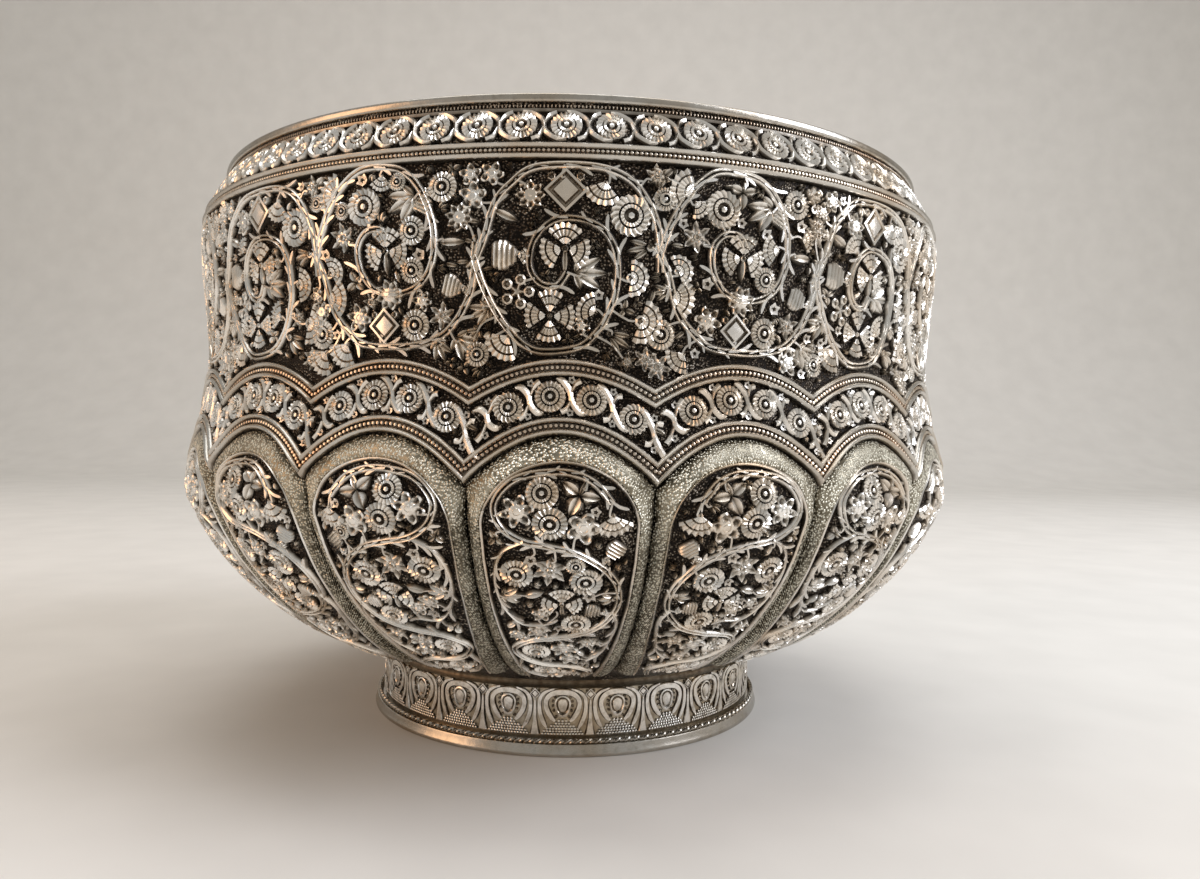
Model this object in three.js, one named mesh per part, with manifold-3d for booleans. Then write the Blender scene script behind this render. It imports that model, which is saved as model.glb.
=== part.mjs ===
// A raised and chased silver bowl on a soldered foot ring, in millimetres, +Z up.
// The origin is on the axis, in the plane that the foot stands on. Azimuth 0 points along -Y, at the
// middle of a lobe.
import * as THREE from 'three';
import openManifold from 'manifold-3d';

// The bands that make up the height, from the ground up. The lobes end at an arch, a band of arches
// follows, then the frieze, and the band under the lip. Arches are measured at their tops.
const FOOT_HEIGHT = 13.2;
const LOBE_HEIGHT = 43.6;
const ARCH_BAND_HEIGHT = 7.8;
const FRIEZE_HEIGHT = 28.9;
const RIM_BAND_HEIGHT = 7.6;

// The wall's outer outline, over the crests of the lobes and of the chased ornament.
const BELLY_RADIUS = 76.0;
const BELLY_BELOW_ARCH = 10.3;
const BELLY_ROUNDNESS = 1.54;
const ARCH_RADIUS = 73.3;
const WAIST_RADIUS = 71.7;
const WAIST_ABOVE_ARCH = 12.2;
const SHOULDER_RADIUS = 73.1;
const SHOULDER_BELOW_LIP = 10.4;
const LIP_RADIUS = 68.6;

// The sheet, and the plain ridges that are chased up out of it in pairs.
const SHEET = 1.6;
const RIDGE_HEIGHT = 0.5;
const RIDGE_WIDTH = 1.05;
const RIDGE_GAP = 0.5;

// The lobes and the arches that end them, which come down to a point between two lobes.
const LOBES = 18;
const FURROW_DEPTH = 2.2;
const FURROW_DEPTH_AT_SEAT = 0.7;
const FURROW_SHARPNESS = 3;
const ARCH_RISE = 6.2;
const ARCH_CREASE = 0.9;
const UPPER_ARCH_RISE = 4.0;

// The relief. Its ground is sunk around it, so its crests are level with the outline. The band under
// the lip holds round rosettes. In the frieze a vine passes over one scroll and under the next, and
// curls inwards in each, the other way up than in its neighbours. VINE_DEPTH is how deep its foot lies.
const RELIEF = 0.7;
const GROUND_SLOPE = 0.3;
const RIM_ROSETTES = 72;
const RIM_ROSETTE_DIAMETER = 4.3;
const RIM_ROSETTE_CREST = 2.8;
const RIM_BAND_MARGIN = 2.0;
const SCROLLS = 18;
const SCROLL_RADIUS = 11.8;
const SCROLL_INNER_RADIUS = 4.6;
const SCROLL_STRETCH = 1.07;
const SCROLL_TURNS = 1.5;
const SCROLL_TIGHTENING = 1.8;
const SCROLL_HEIGHT = 79.3;
const VINE_WIDTH = 1.6;
const VINE_DEPTH = 1.25;
const BAND_RADIUS = 72.6;

// The plain wire soldered round the lip.
const LIP_WIRE_WIDTH = 2.2;
const LIP_WIRE_HEIGHT = 1.3;
const LIP_WIRE_OVERHANG = 0.3;
const WIRE_CHAMFER = 0.3;

// The foot: a strip bent to a ring, a plain base wire, and a twisted wire in the corner between them.
const FOOT_RADIUS = 38.4;
const FOOT_THICKNESS = 1.5;
const FOOT_COVE_DEPTH = 0.5;
const FOOT_COVE_HEIGHT = 2.6;
const SEAT_OVERHANG = 1.2;
const BASE_WIRE_HEIGHT = 2.1;
const BASE_WIRE_OVERHANG = 1.3;
const BASE_WIRE_FLARE = 0.4;
const TWISTED_WIRE_DIAMETER = 0.9;
const SOLDER_GAP = 0.3;

// How finely round forms are faceted.
const STEPS_PER_LOBE = 6;
const COLUMNS = LOBES * STEPS_PER_LOBE;
const RING_STEPS = 72;
const WIRE_SIDES = 8;
const COVE_STEPS = 4;
const BELLY_STEPS = 6;
const FRIEZE_COLUMNS = 3 * LOBES;
const INSIDE_COLUMNS = 2 * LOBES;
const ROSETTE_SIDES = 6;
const SCROLL_STEPS = 14;

const LIP_WIRE_SEAT = FOOT_HEIGHT + LOBE_HEIGHT + ARCH_BAND_HEIGHT + FRIEZE_HEIGHT + RIM_BAND_HEIGHT;
const ARCH_HEIGHT = FOOT_HEIGHT + LOBE_HEIGHT;
const UPPER_ARCH_HEIGHT = ARCH_HEIGHT + ARCH_BAND_HEIGHT;
const COLLAR_HEIGHT = UPPER_ARCH_HEIGHT + FRIEZE_HEIGHT;
const BELLY_HEIGHT = ARCH_HEIGHT - BELLY_BELOW_ARCH;
const RIM_GROUND_FOOT = COLLAR_HEIGHT + RIDGE_WIDTH + RIDGE_GAP / 2 + GROUND_SLOPE;
const RIM_GROUND_TOP = LIP_WIRE_SEAT - RIM_BAND_MARGIN - GROUND_SLOPE;
const SEAT_RADIUS = FOOT_RADIUS + SEAT_OVERHANG;

const silver = new THREE.MeshStandardMaterial({ color: 0xb9b2a6, roughness: 0.35, metalness: 1 });
const wornSilver = new THREE.MeshStandardMaterial({ color: 0xcfc9be, roughness: 0.25, metalness: 1 });
const tonedSilver = new THREE.MeshStandardMaterial({ color: 0xb29f83, roughness: 0.35, metalness: 1 });

// The lower half is a quarter of a superellipse from the seat to the belly, and the upper half passes
// through the arch line, the waist, the shoulder and the lip.
function outlinePoints() {
  const points = [];
  for (let step = 0; step <= BELLY_STEPS; step += 1) {
    const turn = (step / BELLY_STEPS) * (Math.PI / 2);
    const out = Math.sin(turn) ** (2 / BELLY_ROUNDNESS);
    const down = Math.max(0, Math.cos(turn)) ** (2 / BELLY_ROUNDNESS);
    points.push(new THREE.Vector2(
      THREE.MathUtils.lerp(SEAT_RADIUS, BELLY_RADIUS, out),
      THREE.MathUtils.lerp(BELLY_HEIGHT, FOOT_HEIGHT, down),
    ));
  }
  points.push(new THREE.Vector2(ARCH_RADIUS, ARCH_HEIGHT));
  points.push(new THREE.Vector2(WAIST_RADIUS, ARCH_HEIGHT + WAIST_ABOVE_ARCH));
  points.push(new THREE.Vector2(SHOULDER_RADIUS, LIP_WIRE_SEAT - SHOULDER_BELOW_LIP));
  points.push(new THREE.Vector2(LIP_RADIUS, LIP_WIRE_SEAT));
  return points;
}

const outline = new THREE.SplineCurve(outlinePoints());

// The outline climbs all the way, so a height names one place along it, from 0 at the seat to 1 at the lip.
function alongOutline(height) {
  let low = 0;
  let high = 1;
  for (let halving = 0; halving < 30; halving += 1) {
    const middle = (low + high) / 2;
    if (outline.getPointAt(middle).y < height) low = middle;
    else high = middle;
  }
  return (low + high) / 2;
}

// How deep the furrow between two lobes is at a height: shallow at the seat, and gone at the arch.
function furrowDepth(height) {
  const archFoot = ARCH_HEIGHT - ARCH_RISE;
  const risen = THREE.MathUtils.clamp((height - FOOT_HEIGHT) / (BELLY_HEIGHT - FOOT_HEIGHT), 0, 1);
  const depth = THREE.MathUtils.lerp(FURROW_DEPTH_AT_SEAT, FURROW_DEPTH, risen);
  return depth * THREE.MathUtils.smoothstep(archFoot - height, 0, archFoot - BELLY_HEIGHT);
}

// A point of the wall. proud is how far it stands out from the outline, square to the sheet.
function onWall(azimuth, height, proud) {
  const turn = THREE.MathUtils.euclideanModulo(azimuth / (2 * Math.PI) * LOBES, 1);
  const across = Math.min(turn, 1 - turn) * 2;
  const along = alongOutline(height);
  const tangent = outline.getTangentAt(along);
  const out = proud - furrowDepth(height) * across ** FURROW_SHARPNESS;
  const radius = outline.getPointAt(along).x + tangent.y * out;
  return new THREE.Vector3(
    radius * Math.sin(azimuth),
    -radius * Math.cos(azimuth),
    height - tangent.x * out,
  );
}

// One row of points round the wall. drop is how far the row dips between two lobes, and turned is how
// many columns the row is turned by.
function wallRow(height, drop, proud, columns = COLUMNS, turned = 0) {
  const row = [];
  const perLobe = columns / LOBES;
  for (let column = 0; column < columns; column += 1) {
    const share = (column % perLobe) / perLobe;
    const across = Math.min(share, 1 - share) * 2;
    row.push(onWall(((column + turned) / columns) * 2 * Math.PI, height - drop * across * across, proud));
  }
  return row;
}

// The same points pressed flat at one height, for the seat and the lip.
function levelled(row, height) {
  return row.map((point) => new THREE.Vector3(point.x, point.y, height));
}

// Two ridges with a groove between them, which follow an arch if they drop.
function ridgePair(height, drop, columns = COLUMNS) {
  const edge = RIDGE_WIDTH + RIDGE_GAP / 2;
  const crest = (RIDGE_WIDTH + RIDGE_GAP) / 2;
  return [
    wallRow(height - edge, drop, 0, columns),
    wallRow(height - crest, drop, RIDGE_HEIGHT, columns),
    wallRow(height, drop, RIDGE_HEIGHT / 4, columns),
    wallRow(height + crest, drop, RIDGE_HEIGHT, columns),
    wallRow(height + edge, drop, 0, columns),
  ];
}

// Rows from the seat up to the arch that ends the lobes. They dip more and more like the arch, and the
// last one lies in the crease under it.
function lobeRows() {
  const count = 9;
  const top = ARCH_HEIGHT - RIDGE_WIDTH - RIDGE_GAP;
  const topAlong = alongOutline(top);
  const rows = [];
  for (let step = 0; step < count; step += 1) {
    const share = step / count;
    const height = outline.getPointAt(topAlong * share).y;
    rows.push(wallRow(height, ARCH_RISE * share ** 3, 0));
  }
  rows[0] = levelled(rows[0], FOOT_HEIGHT);
  rows.push(wallRow(top, ARCH_RISE, -ARCH_CREASE));
  return rows;
}

// Rows over the frieze's sunk ground. They level out from the upper arches to the collar above it.
function friezeRows() {
  const count = 2;
  const margin = RIDGE_WIDTH + RIDGE_GAP / 2 + GROUND_SLOPE;
  const rows = [];
  for (let step = 0; step <= count; step += 1) {
    const share = step / count;
    const height = THREE.MathUtils.lerp(UPPER_ARCH_HEIGHT + margin, COLLAR_HEIGHT - margin, share);
    rows.push(wallRow(height, UPPER_ARCH_RISE * (1 - share) ** 2, -RELIEF, FRIEZE_COLUMNS));
  }
  return rows;
}

// The foot and the top of the sunk ground under the lip, with a point between every two rosettes, and
// the plain edge above it.
function rimRows() {
  return [
    wallRow(RIM_GROUND_FOOT, 0, -RELIEF, RIM_ROSETTES, -0.5),
    wallRow(RIM_GROUND_TOP, 0, -RELIEF, RIM_ROSETTES, -0.5),
    wallRow(RIM_GROUND_TOP + GROUND_SLOPE, 0, 0, RIM_ROSETTES),
    levelled(wallRow(LIP_WIRE_SEAT, 0, 0, RIM_ROSETTES), LIP_WIRE_SEAT),
  ];
}

// The inside, from the lip down to the floor. The sheet was raised, so it is lobed as the outside is.
function insideRows() {
  const count = 10;
  const rows = [];
  for (let step = 0; step <= count; step += 1) {
    const height = outline.getPointAt(1 - step / count).y;
    rows.push(wallRow(height, 0, -SHEET, INSIDE_COLUMNS));
  }
  rows[0] = levelled(rows[0], LIP_WIRE_SEAT);
  rows[count] = levelled(rows[count], FOOT_HEIGHT + SHEET);
  return rows;
}

// Faces between two closed rows of points, given by their numbers. They start side by side and may
// differ in their counts.
function joinRows(faces, below, above) {
  let low = 0;
  let high = 0;
  while (low < below.length || high < above.length) {
    const here = below[low % below.length];
    const over = above[high % above.length];
    if ((low + 0.5) / below.length < (high + 0.5) / above.length) {
      low += 1;
      faces.push(here, below[low % below.length], over);
    } else {
      high += 1;
      faces.push(here, above[high % above.length], over);
    }
  }
}

// A fan of faces from a closed row of points to one point.
function closeRow(faces, row, tip) {
  row.forEach((point, number) => faces.push(point, row[(number + 1) % row.length], tip));
}

function middleOf(row) {
  return row.reduce((sum, point) => sum.add(point), new THREE.Vector3()).divideScalar(row.length);
}

// The band under the lip between two rows of its ground: round each rosette a piece of ground, then
// its slope, and its top with a pit in the middle.
function rosetteBand(points, faces, foot, top) {
  const height = (RIM_GROUND_FOOT + RIM_GROUND_TOP) / 2;
  for (let number = 0; number < RIM_ROSETTES; number += 1) {
    const azimuth = (number / RIM_ROSETTES) * 2 * Math.PI;
    const circle = (diameter, proud) => {
      const row = [];
      for (let side = 0; side < ROSETTE_SIDES; side += 1) {
        const turn = (side / ROSETTE_SIDES - 3 / 8) * 2 * Math.PI;
        const across = (diameter / 2) * Math.cos(turn);
        const up = (diameter / 2) * Math.sin(turn);
        row.push(points.push(onWall(azimuth + across / BAND_RADIUS, height + up, proud)) - 1);
      }
      return row;
    };
    const next = (number + 1) % RIM_ROSETTES;
    const base = circle(RIM_ROSETTE_DIAMETER, -RELIEF);
    const crest = circle(RIM_ROSETTE_CREST, 0);
    joinRows(faces, [foot[number], foot[next], top[next], top[number]], base);
    joinRows(faces, base, crest);
    closeRow(faces, crest, points.push(onWall(azimuth, height, -RELIEF / 2)) - 1);
  }
}

// Faces between rows of points, each row joined to the next, with a fan to a centre at both ends.
function closedSkin(rows, rosettesAfter = -1) {
  const points = [];
  const faces = [];
  const rings = rows.map((row) => row.map((point) => points.push(point) - 1));
  for (let row = 0; row < rows.length - 1; row += 1) {
    if (row === rosettesAfter) rosetteBand(points, faces, rings[row], rings[row + 1]);
    else joinRows(faces, rings[row], rings[row + 1]);
  }
  closeRow(faces, rings[0].toReversed(), points.push(middleOf(rows[0])) - 1);
  closeRow(faces, rings[rings.length - 1], points.push(middleOf(rows[rows.length - 1])) - 1);
  return { points, faces };
}

// A vine, as a three-sided rib on a path of points whose x runs round the frieze and whose y is the
// height. Its lower edges lie in the sheet.
function vine(path) {
  const rows = path.map((point, number) => {
    const before = path[Math.max(0, number - 1)];
    const after = path[Math.min(path.length - 1, number + 1)];
    const side = after.clone().sub(before).normalize().multiplyScalar(VINE_WIDTH / 2);
    return [
      onWall((point.x + side.y) / BAND_RADIUS, point.y - side.x, -VINE_DEPTH),
      onWall((point.x - side.y) / BAND_RADIUS, point.y + side.x, -VINE_DEPTH),
      onWall(point.x / BAND_RADIUS, point.y, 0),
    ];
  });
  return closedSkin(rows);
}

// A scroll of the frieze: the vine comes over it, turns back under it and curls inwards. The next
// scroll is the same upside down.
function friezeScroll(number) {
  const pitch = (2 * Math.PI * BAND_RADIUS) / SCROLLS;
  const upright = number % 2 === 0 ? 1 : -1;
  const path = [];
  for (let step = 0; step <= SCROLL_STEPS; step += 1) {
    const share = step / SCROLL_STEPS;
    const turn = share * SCROLL_TURNS * 2 * Math.PI;
    const radius = THREE.MathUtils.lerp(SCROLL_RADIUS, SCROLL_INNER_RADIUS, share ** SCROLL_TIGHTENING);
    path.push(new THREE.Vector2(
      number * pitch + radius * SCROLL_STRETCH * Math.cos(turn),
      SCROLL_HEIGHT + upright * radius * Math.sin(turn),
    ));
  }
  return vine(path);
}

// The union of closed skins, as one geometry.
function fused(skins) {
  const solids = skins.map(({ points, faces }) => new manifold.Manifold(new manifold.Mesh({
    numProp: 3,
    vertProperties: new Float32Array(points.flatMap((point) => point.toArray())),
    triVerts: new Uint32Array(faces),
  })));
  const mesh = manifold.Manifold.union(solids).getMesh();
  const geometry = new THREE.BufferGeometry();
  geometry.setAttribute('position', new THREE.BufferAttribute(mesh.vertProperties, 3));
  geometry.setIndex(new THREE.BufferAttribute(mesh.triVerts, 1));
  geometry.computeVertexNormals();
  return geometry;
}

// The wall is one raised sheet, from its flat seat on the foot up to the lip, with its relief.
function bowlWall() {
  const belowRim = [
    ...lobeRows(),
    ...ridgePair(ARCH_HEIGHT, ARCH_RISE),
    ...ridgePair(UPPER_ARCH_HEIGHT, UPPER_ARCH_RISE),
    ...friezeRows(),
    ...ridgePair(COLLAR_HEIGHT, 0, RIM_ROSETTES),
  ];
  const skins = [closedSkin([...belowRim, ...rimRows(), ...insideRows()], belowRim.length)];
  for (let number = 0; number < SCROLLS; number += 1) skins.push(friezeScroll(number));
  return fused(skins);
}

// A closed profile of radius and height, turned round the bowl's axis.
function ring(profile) {
  const points = profile.map(([radius, height]) => new THREE.Vector2(radius, height));
  points.push(points[0].clone());
  return new THREE.LatheGeometry(points, RING_STEPS).rotateX(Math.PI / 2);
}

// The plain wire that stiffens the lip, lying flat on the wall's edge.
function lipWire() {
  const outer = LIP_RADIUS + LIP_WIRE_OVERHANG;
  const inner = outer - LIP_WIRE_WIDTH;
  const top = LIP_WIRE_SEAT + LIP_WIRE_HEIGHT;
  return ring([
    [inner, LIP_WIRE_SEAT],
    [outer, LIP_WIRE_SEAT],
    [outer, top - WIRE_CHAMFER],
    [outer - WIRE_CHAMFER, top],
    [inner + WIRE_CHAMFER, top],
    [inner, top - WIRE_CHAMFER],
  ]);
}

// The foot's strip. A shallow cove draws it in under the wall, and its top edge is soldered to the seat.
function footWall() {
  const coveFoot = FOOT_HEIGHT - FOOT_COVE_HEIGHT;
  const outside = [];
  for (let step = 0; step <= COVE_STEPS; step += 1) {
    const share = step / COVE_STEPS;
    outside.push([
      FOOT_RADIUS - FOOT_COVE_DEPTH * Math.sin(Math.PI * share),
      THREE.MathUtils.lerp(coveFoot, FOOT_HEIGHT, share),
    ]);
  }
  const inner = FOOT_RADIUS - FOOT_COVE_DEPTH - FOOT_THICKNESS;
  return ring([[inner, BASE_WIRE_HEIGHT], [FOOT_RADIUS, BASE_WIRE_HEIGHT], ...outside, [inner, FOOT_HEIGHT]]);
}

// The plain wire that the bowl stands on. It flares a little, and its ledge carries the twisted wire.
function baseWire() {
  const outer = FOOT_RADIUS + BASE_WIRE_OVERHANG;
  const inner = FOOT_RADIUS - FOOT_COVE_DEPTH - FOOT_THICKNESS;
  return ring([
    [inner, 0],
    [outer + BASE_WIRE_FLARE - WIRE_CHAMFER, 0],
    [outer + BASE_WIRE_FLARE, WIRE_CHAMFER],
    [outer, BASE_WIRE_HEIGHT],
    [inner, BASE_WIRE_HEIGHT],
  ]);
}

// The twisted wire, at the size over its strands, with a flat side down on the base wire's ledge.
function twistedWire() {
  const half = TWISTED_WIRE_DIAMETER / 2;
  const centreRadius = FOOT_RADIUS + SOLDER_GAP + half;
  const cornerRadius = half / Math.cos(Math.PI / WIRE_SIDES);
  const profile = [];
  for (let side = 0; side < WIRE_SIDES; side += 1) {
    const turn = ((side + 0.5) / WIRE_SIDES) * 2 * Math.PI - Math.PI / 2;
    profile.push([
      centreRadius + cornerRadius * Math.cos(turn),
      BASE_WIRE_HEIGHT + half + cornerRadius * Math.sin(turn),
    ]);
  }
  return ring(profile);
}

const manifold = await openManifold();
manifold.setup();

const bowl = new THREE.Group();
bowl.name = 'silver_bowl';

function addPiece(name, geometry, material) {
  const mesh = new THREE.Mesh(geometry, material);
  mesh.name = name;
  bowl.add(mesh);
}

addPiece('bowl_wall', bowlWall(), silver);
addPiece('lip_wire', lipWire(), wornSilver);
addPiece('foot_wall', footWall(), tonedSilver);
addPiece('foot_base_wire', baseWire(), wornSilver);
addPiece('foot_twisted_wire', twistedWire(), wornSilver);

export default bowl;
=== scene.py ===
import math

import bmesh
import bpy
import numpy as np
from mathutils import Matrix, Vector


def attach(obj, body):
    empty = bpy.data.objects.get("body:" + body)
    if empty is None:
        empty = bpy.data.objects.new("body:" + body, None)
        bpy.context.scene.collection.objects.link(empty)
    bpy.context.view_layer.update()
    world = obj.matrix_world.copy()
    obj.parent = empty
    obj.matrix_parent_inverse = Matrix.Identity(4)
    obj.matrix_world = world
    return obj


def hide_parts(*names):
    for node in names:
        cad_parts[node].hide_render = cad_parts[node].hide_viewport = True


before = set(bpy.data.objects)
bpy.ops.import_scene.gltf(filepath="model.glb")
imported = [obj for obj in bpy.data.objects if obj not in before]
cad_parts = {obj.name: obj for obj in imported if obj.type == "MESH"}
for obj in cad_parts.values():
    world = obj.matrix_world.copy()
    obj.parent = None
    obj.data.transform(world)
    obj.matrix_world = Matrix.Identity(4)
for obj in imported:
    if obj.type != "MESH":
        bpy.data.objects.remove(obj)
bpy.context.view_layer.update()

# The wall is one sheet of silver, raised with the hammer from a disc into eighteen lobes. Its ground
# was punched down between the ornament and oxidised dark, with painted shade in its colour as well, and
# the inside was planished smooth.
# Sizes are in millimetres until a mesh is made.
LOBES = 18
LOBE_TURN = math.tau / LOBES
SEAT_HEIGHT = 13.2
BELLY_HEIGHT = 46.5
ARCH_FOOT = 50.6
LIP_SEAT = 101.1
SHEET = 1.6
GROUND = -0.95
CREST_MARGIN = 0.15


def smooth_line(knots, steps):
    """A smooth line through the knots, with that many steps between two of them."""
    k = np.asarray(knots, float)
    k = np.vstack([k[:1], k, k[-1:]])
    t = np.linspace(0, 1, steps, endpoint=False)[:, None]
    spans = []
    for a, b, c, d in zip(k, k[1:], k[2:], k[3:]):
        leave, arrive = (c - a) / 2, (d - b) / 2
        spans.append((2 * b - 2 * c + leave + arrive) * t**3
                     + (3 * c - 3 * b - 2 * leave - arrive) * t**2 + leave * t + b)
    return np.vstack(spans + [k[-1:]])


SEAT_RADIUS, BELLY_SWELL, BELLY_RISE, FULLNESS = 39.6, 36.05, 33.3, 2 / 1.54
quarter = np.arange(7) / 6 * math.pi / 2
belly = np.column_stack([SEAT_RADIUS + BELLY_SWELL * np.sin(quarter) ** FULLNESS,
                         BELLY_HEIGHT - BELLY_RISE * np.abs(np.cos(quarter)) ** FULLNESS])
outline = smooth_line(np.vstack([belly, [(73.3, 56.8), (71.7, 69.0), (73.1, 90.7), (68.6, LIP_SEAT)]]), 40)
reach = np.concatenate([[0], np.cumsum(np.linalg.norm(np.diff(outline, axis=0), axis=1))])
lean = np.gradient(outline, axis=0)
lean /= np.linalg.norm(lean, axis=1)[:, None]


def along(height):
    """How far up the sheet, from the seat, a height lies."""
    return np.interp(height, outline[:, 1], reach)


def radius_at(way):
    return np.interp(way, reach, outline[:, 0])


def round_the_axis(azimuth, radius, height):
    return np.stack([radius * np.sin(azimuth), -radius * np.cos(azimuth), height], -1)


def on_wall(azimuth, way, proud):
    """Points of the wall. way is measured up the sheet, and proud out of it from the crests' level."""
    radius, height = radius_at(way), np.interp(way, reach, outline[:, 1])
    lean_out, lean_up = np.interp(way, reach, lean[:, 0]), np.interp(way, reach, lean[:, 1])
    across = np.abs((azimuth / LOBE_TURN + 0.5) % 1 - 0.5) * 2
    risen = np.clip((height - SEAT_HEIGHT) / (BELLY_HEIGHT - SEAT_HEIGHT), 0, 1)
    fade = np.clip((ARCH_FOOT - height) / (ARCH_FOOT - BELLY_HEIGHT), 0, 1)
    furrow = (0.7 + 1.5 * risen) * fade**2 * (3 - 2 * fade) * across**3
    out = proud - CREST_MARGIN - furrow
    return round_the_axis(azimuth, radius + lean_up * out, height - lean_out * out)


def linear(colour):
    """An sRGB hex colour as the four linear values that a shader takes."""
    channels = [int(colour[i:i + 2], 16) / 255 for i in (0, 2, 4)]
    return [c / 12.92 if c <= 0.04045 else ((c + 0.055) / 1.055) ** 2.4 for c in channels] + [1]


def plug(tree, node, inputs):
    """Sets a node's sockets to plain values, or links them to sockets or other nodes' first outputs."""
    for key, value in inputs.items():
        if isinstance(value, bpy.types.Node):
            value = value.outputs[0]
        if isinstance(value, bpy.types.NodeSocket):
            tree.links.new(value, node.inputs[key])
        else:
            node.inputs[key].default_value = value


def add(tree, kind, inputs=None, **settings):
    """Adds one node to a tree, with its settings and what goes into its sockets."""
    node = tree.nodes.new(kind)
    for key, value in settings.items():
        setattr(node, key, value)
    plug(tree, node, inputs or {})
    return node


def shaded(name):
    """A new material's tree, its shader, and the object coordinates that its patterns follow."""
    material = bpy.data.materials.new(name)
    material.use_nodes = True
    tree = material.node_tree
    place = add(tree, "ShaderNodeTexCoord").outputs["Object"]
    return material, tree, tree.nodes["Principled BSDF"], place


def graded(tree, factor, stops):
    """Colours that change with a factor from 0 to 1."""
    ramp = add(tree, "ShaderNodeValToRGB", {"Fac": factor})
    while len(ramp.color_ramp.elements) < len(stops):
        ramp.color_ramp.elements.new(0.5)
    for element, (position, colour) in zip(ramp.color_ramp.elements, stops):
        element.position = position
        element.color = linear(colour)
    return ramp


# Chased silver: sheet metal worked with punches, then blackened and rubbed. The black stays in the ground
# and on the walls of the relief, and the crests are worn bright, with a warm toned bloom. The dark of the
# low parts is partly that black and partly painted shade, at the foot of the relief and in the ground.
def chased_silver(name, stops, bloom):
    material, tree, shader, place = shaded(name)
    crest = add(tree, "ShaderNodeAttribute", attribute_name="crest").outputs["Fac"]
    cloud = add(tree, "ShaderNodeTexNoise", {"Vector": place, "Scale": 1 / 0.011, "Detail": 3.0})
    grime = add(tree, "ShaderNodeTexNoise", {"Vector": place, "Scale": 1 / 0.0011, "Detail": 2.0})
    rubbed_and_shaded = add(tree, "ShaderNodeMath", {0: grime, 1: -0.5}, operation="ADD")
    # The lower the crest, the darker the colour: patina, and partly painted shade at the foot of the relief.
    rubbed_and_shaded = add(tree, "ShaderNodeMath", {0: rubbed_and_shaded, 1: 0.5, 2: crest},
                 operation="MULTIPLY_ADD", use_clamp=True)
    silver = graded(tree, rubbed_and_shaded, stops)
    toned = add(tree, "ShaderNodeMapRange", {"Value": cloud, 1: 0.42, 2: 0.7, 3: 0.0, 4: 0.55})
    mixed = add(tree, "ShaderNodeMix", {0: toned, 6: silver, 7: linear(bloom)},
                data_type="RGBA", blend_type="MULTIPLY")
    dull = add(tree, "ShaderNodeMapRange", {"Value": rubbed_and_shaded, 1: 0.0, 2: 0.85, 3: 0.6, 4: 0.27})
    metal = add(tree, "ShaderNodeMapRange", {"Value": rubbed_and_shaded, 1: 0.0, 2: 0.5, 3: 0.55, 4: 1.0})
    tool = add(tree, "ShaderNodeBump", {"Height": grime, "Strength": 0.35, "Distance": 0.0001})
    plug(tree, shader, {"Base Color": mixed.outputs[2], "Roughness": dull, "Metallic": metal,
                        "Normal": tool})
    return material


relief_silver = chased_silver("chased_silver_rubbed", [
    (0.0, "17110c"), (0.25, "3b3228"), (0.55, "aea89e"), (0.9, "f0ede7")], "dfc8aa")


# The ground between the ornament: a small ring punch was struck all over it, and the black fills
# every ring. The rings are 0.3 mm in the metal and are drawn 0.4 mm apart, so that they show. Its
# near-black is partly that black and partly painted shade, and its pale points are partly painted glints.
def matted_ground():
    material, tree, shader, place = shaded("matted_oxidised_silver_and_painted_shade")
    mats = add(tree, "ShaderNodeTexVoronoi", {"Vector": place, "Scale": 1 / 0.0004})
    patchy = add(tree, "ShaderNodeTexNoise", {"Vector": place, "Scale": 1 / 0.004, "Detail": 3.0})
    lightness = add(tree, "ShaderNodeMapRange", {"Value": patchy, 1: 0.35, 2: 0.68, 3: 0.25, 4: 1.0})
    grain = add(tree, "ShaderNodeMapRange", {"Value": mats, 1: 0.1, 2: 0.62, 3: 1.0, 4: 0.0})
    # Dark to pale over the punch grain: oxide and painted shade in the sunk ground, and painted glints on the
    # marks.
    wear_and_painted_light = add(tree, "ShaderNodeMath", {0: grain, 1: lightness}, operation="MULTIPLY")
    colour = graded(tree, wear_and_painted_light, [(0.0, "16110d"), (0.28, "473d33"), (0.6, "a0978a"), (1.0, "eae4d8")])
    bump = add(tree, "ShaderNodeBump", {"Height": grain, "Strength": 0.9, "Distance": 0.0002})
    plug(tree, shader, {"Base Color": colour, "Metallic": 0.85, "Roughness": 0.42, "Normal": bump})
    return material


# Planished silver: the hammer's flat face leaves soft facets about 5 mm wide, then it was polished
# and has tarnished a little yellow.
def planished_silver():
    material, tree, shader, place = shaded("planished_silver")
    facets = add(tree, "ShaderNodeTexVoronoi", {"Vector": place, "Scale": 1 / 0.005}, feature="SMOOTH_F1")
    haze = add(tree, "ShaderNodeTexNoise", {"Vector": place, "Scale": 1 / 0.02, "Detail": 4.0})
    colour = graded(tree, haze, [(0.3, "b8b2a5"), (0.55, "d6d1c6"), (0.75, "c2b697")])
    dull = add(tree, "ShaderNodeMapRange", {"Value": haze, 1: 0.3, 2: 0.7, 3: 0.36, 4: 0.52})
    bump = add(tree, "ShaderNodeBump", {"Height": facets, "Strength": 0.25, "Distance": 0.0004})
    plug(tree, shader, {"Base Color": colour, "Metallic": 1.0, "Roughness": dull, "Normal": bump})
    return material


def grid_faces(rows, columns, ring):
    """Four-sided faces between rows of points. A ring's last column joins its first."""
    here = np.arange(rows * columns).reshape(rows, columns)
    beside = np.roll(here, -1, 1)
    if not ring:
        here, beside = here[:, :-1], beside[:, :-1]
    return np.stack([here[:-1], beside[:-1], beside[1:], here[1:]], -1).reshape(-1, 4)


def into_scene(name, data):
    """A new object at the origin, from a mesh, a lamp or a camera."""
    thing = bpy.data.objects.new(name, data)
    bpy.context.scene.collection.objects.link(thing)
    return thing


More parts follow.
